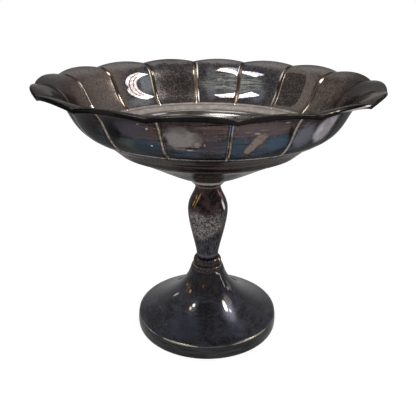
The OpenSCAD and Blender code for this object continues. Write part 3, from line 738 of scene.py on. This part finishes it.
# Bluish rows are painted reflections, the crease rows wear, and the other pale and gold spots painted
# highlights.
wear_and_highlights = (
    (-119, 16, 15, 5, "#4a4b5a", 0.5), (-66, 19, 8, 8, "#4d4e5e", 0.5),
    (-119, 9.95, 14, 0.28, "#b7ae98", 0.9), (-59, 9.9, 17, 0.28, "#b7ae98", 0.9),
    (-153, 9.9, 13, 0.25, "#77767a", 0.7), (-90, 9.9, 12, 0.22, "#6d6b6a", 0.6),
    (-67.3, 25.4, 2.6, 2.6, "#e4dfd0", 1.0), (-62.5, 22.4, 1.2, 0.9, "#b9bac4", 0.6),
    (-119, 26.1, 1.9, 0.9, "#e4dac4", 1.0), (-123, 24.2, 1.6, 0.9, "#d3ba90", 0.9),
    (-164.5, 26.4, 3.0, 1.0, "#cfcdc8", 0.9, 25), (-155.5, 35.3, 2.4, 0.9, "#a5734a", 0.9),
    (-137.2, 32.7, 2.2, 1.0, "#cf9a52", 0.9), (-107.3, 37.8, 1.6, 1.0, "#a0562e", 0.8),
    (-60, 45.6, 9.0, 0.5, "#bdb9b4", 0.9, -8), (-50.5, 42.5, 1.4, 3.0, "#bdb9b4", 0.9),
    (-48.5, 37.2, 1.4, 2.6, "#b0aca8", 0.9, -10), (-42, 33.2, 2.4, 1.2, "#a5a29f", 0.8))
body = marked(foot_finish, body, flat_map, ragged, wear_and_highlights, soft=0.3, fray=0.8, radius=FOOT_MAP_R)
roughness = add_node(foot_finish, "MapRange", {0: clouds, 1: 0.3, 2: 0.7, 3: 0.14, 4: 0.24},
                     interpolation_type="SMOOTHSTEP")
plate(foot_finish, body, roughness, speckle, 0.02, metallic=0.2, skin=0.15, glancing="#5a5856")
foot.data.materials.append(foot_finish)

# Boss, rod, washer and nut
# A bare brass boss soldered under the bowl takes a threaded steel rod, and a washer and a hexagon
# nut inside the foot draw the stack tight. They are seen only from underneath. The brass is a dull
# yellow-brown with turned lines, drawn coarse enough to show, and the steel is grey with brown rust.
boss_finish = new_finish("bare_turned_brass")
turned_lines = grain(boss_finish, place_in_mm(boss_finish), 0.4, 3.0, lay=(20.0, 20.0, 1.0))
body = toned(boss_finish, turned_lines, 0.35, 0.65, "#6b5638", "#8a7048")
plate(boss_finish, body, 0.4, turned_lines, 0.01)
steel_finish = new_finish("dull_plain_steel")
rust = grain(steel_finish, place_in_mm(steel_finish), 3)
body = toned(steel_finish, rust, 0.4, 0.62, "#5b4a3e", "#7c7b78")
plate(steel_finish, body, 0.42, rust, 0.02)
for node, finish in (("bowl_boss", boss_finish), ("tie_rod", steel_finish),
                     ("washer", steel_finish), ("nut", steel_finish)):
    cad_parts[node].data.materials.clear()
    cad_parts[node].data.materials.append(finish)

# Floor
# A plain pale sheet that the bowl stands on. It shows white to the camera and in reflections, and
# keeps a soft share of its own shading, so that the bowl's shadow stays on it.
FLOOR_HALF = 3.0
FLOOR_GLOW_SHARE = 0.75
FLOOR_GLOW = 1.2


def looking(mat):
    """Share of rays that look at a thing: from the camera, or from it by a reflection or through glass."""
    path = add_node(mat, "LightPath", {}).node
    mirrored = add_node(mat, "Math", {
        0: path.outputs["Is Glossy Ray"], 1: path.outputs["Is Transmission Ray"]}, operation="MAXIMUM")
    return add_node(mat, "Math", {0: path.outputs["Is Camera Ray"], 1: mirrored}, operation="MAXIMUM")


bm = bmesh.new()
bmesh.ops.create_grid(bm, x_segments=1, y_segments=1, size=FLOOR_HALF)
mesh = bpy.data.meshes.new("floor")
bm.to_mesh(mesh)
bm.free()
floor = bpy.data.objects.new("floor", mesh)
bpy.context.scene.collection.objects.link(floor)
floor_finish = new_finish("white_paper_floor")
paper = add_node(floor_finish, "BsdfDiffuse", {"Color": "#f2f2f2"})
white = add_node(floor_finish, "Emission", {"Color": "#ffffff", "Strength": FLOOR_GLOW})
glow_share = add_node(floor_finish, "Math", {0: looking(floor_finish), 1: FLOOR_GLOW_SHARE},
                      operation="MULTIPLY")
both = add_node(floor_finish, "MixShader", {0: glow_share, 1: paper, 2: white})
add_node(floor_finish, "OutputMaterial", {"Surface": both})
floor.data.materials.append(floor_finish)

# World
# An even white studio. The camera and reflections see it at full white, and it lights the rest less.
WORLD_LIGHT = 0.75
WORLD_SEEN = 1.0
world = bpy.data.worlds.new("white_studio")
bpy.context.scene.world = world
world.use_nodes = True
world.node_tree.nodes.clear()
strength = add_node(world, "MapRange", {0: looking(world), 3: WORLD_LIGHT, 4: WORLD_SEEN})
air = add_node(world, "Background", {"Color": "#ffffff", "Strength": strength})
add_node(world, "OutputWorld", {"Surface": air})

# Lamps
# Softboxes that only reflections see, so that the metal gets its highlights and the colours keep their
# level: one above for the streaks in the back wall, three side by side for the round glint, and two low.
CAMERA_YAW = -7.035
LAMP_AWAY = 1.5
LAMP_AIM = (0, 0, 0.16)
BRIGHT = 26
DIM = 12


def lamp(name, ahead, along, wide, high, radiance, tint="#ffffff"):
    """A softbox: ahead and along are (right, nearer, up) as the camera sees them; along is its long side."""
    yaw = Matrix.Rotation(math.radians(CAMERA_YAW), 3, "Z") @ Matrix.Diagonal((1, -1, 1))
    z = (yaw @ Vector(ahead)).normalized()
    y = z.cross(yaw @ Vector(along)).normalized()
    x = y.cross(z)
    light = bpy.data.lights.new(name, "AREA")
    light.shape = "RECTANGLE"
    light.size, light.size_y = wide, high
    light.energy = math.pi * wide * high * radiance
    light.color = shade(tint)[:3]
    box = bpy.data.objects.new(name, light)
    place = Matrix.Translation(Vector(LAMP_AIM) + z * LAMP_AWAY)
    box.matrix_world = place @ Matrix((x, y, z)).transposed().to_4x4()
    box.visible_diffuse = False
    bpy.context.scene.collection.objects.link(box)


lamp("softbox_left", (-0.305, 0.25, 0.905), (0.53, -0.12, 0.22), 0.74, 0.36, BRIGHT)
for i, (nearer, high) in enumerate(((-0.045, 0.12), (0.055, 0.1), (0.14, 0.09))):
    lamp("softbox_right_%d" % i, (0.69, nearer, 0.72), (0.35, 0.0, -0.35), 0.74, high, BRIGHT, "#fff6ea")
lamp("strip_left", (-0.93, -0.05, 0.28), (0.1, 1.0, 0.2), 0.3, 0.16, DIM, "#ffe2b0")
lamp("strip_right", (0.9, -0.42, 0.1), (0.0, 0.0, 1.0), 0.3, 0.12, DIM)

# Camera
# It stands at the photograph's angle: just left of a rib's line, above the rim and pitched down.
IMAGE_PX = 416
FOCAL_PX = 521.2
SENSOR_MM = 36
CAMERA_PITCH = 22.552
CAMERA_ROLL = 0.564
CAMERA_SIDE = 0.0001
CAMERA_BACK = 0.3610
CAMERA_UP = 0.2457
camera = bpy.data.objects.new("camera", bpy.data.cameras.new("camera"))
bpy.context.scene.collection.objects.link(camera)
camera.data.sensor_width = SENSOR_MM
camera.data.lens = FOCAL_PX / IMAGE_PX * SENSOR_MM
camera.data.clip_start = 0.01
camera.matrix_world = (
    Matrix.Rotation(math.radians(CAMERA_YAW), 4, "Z")
    @ Matrix.Translation((CAMERA_SIDE, -CAMERA_BACK, CAMERA_UP))
    @ Matrix.Rotation(math.radians(90 - CAMERA_PITCH), 4, "X")
    @ Matrix.Rotation(math.radians(CAMERA_ROLL), 4, "Z"))
bpy.context.scene.camera = camera
bpy.context.scene.view_settings.view_transform = "Standard"
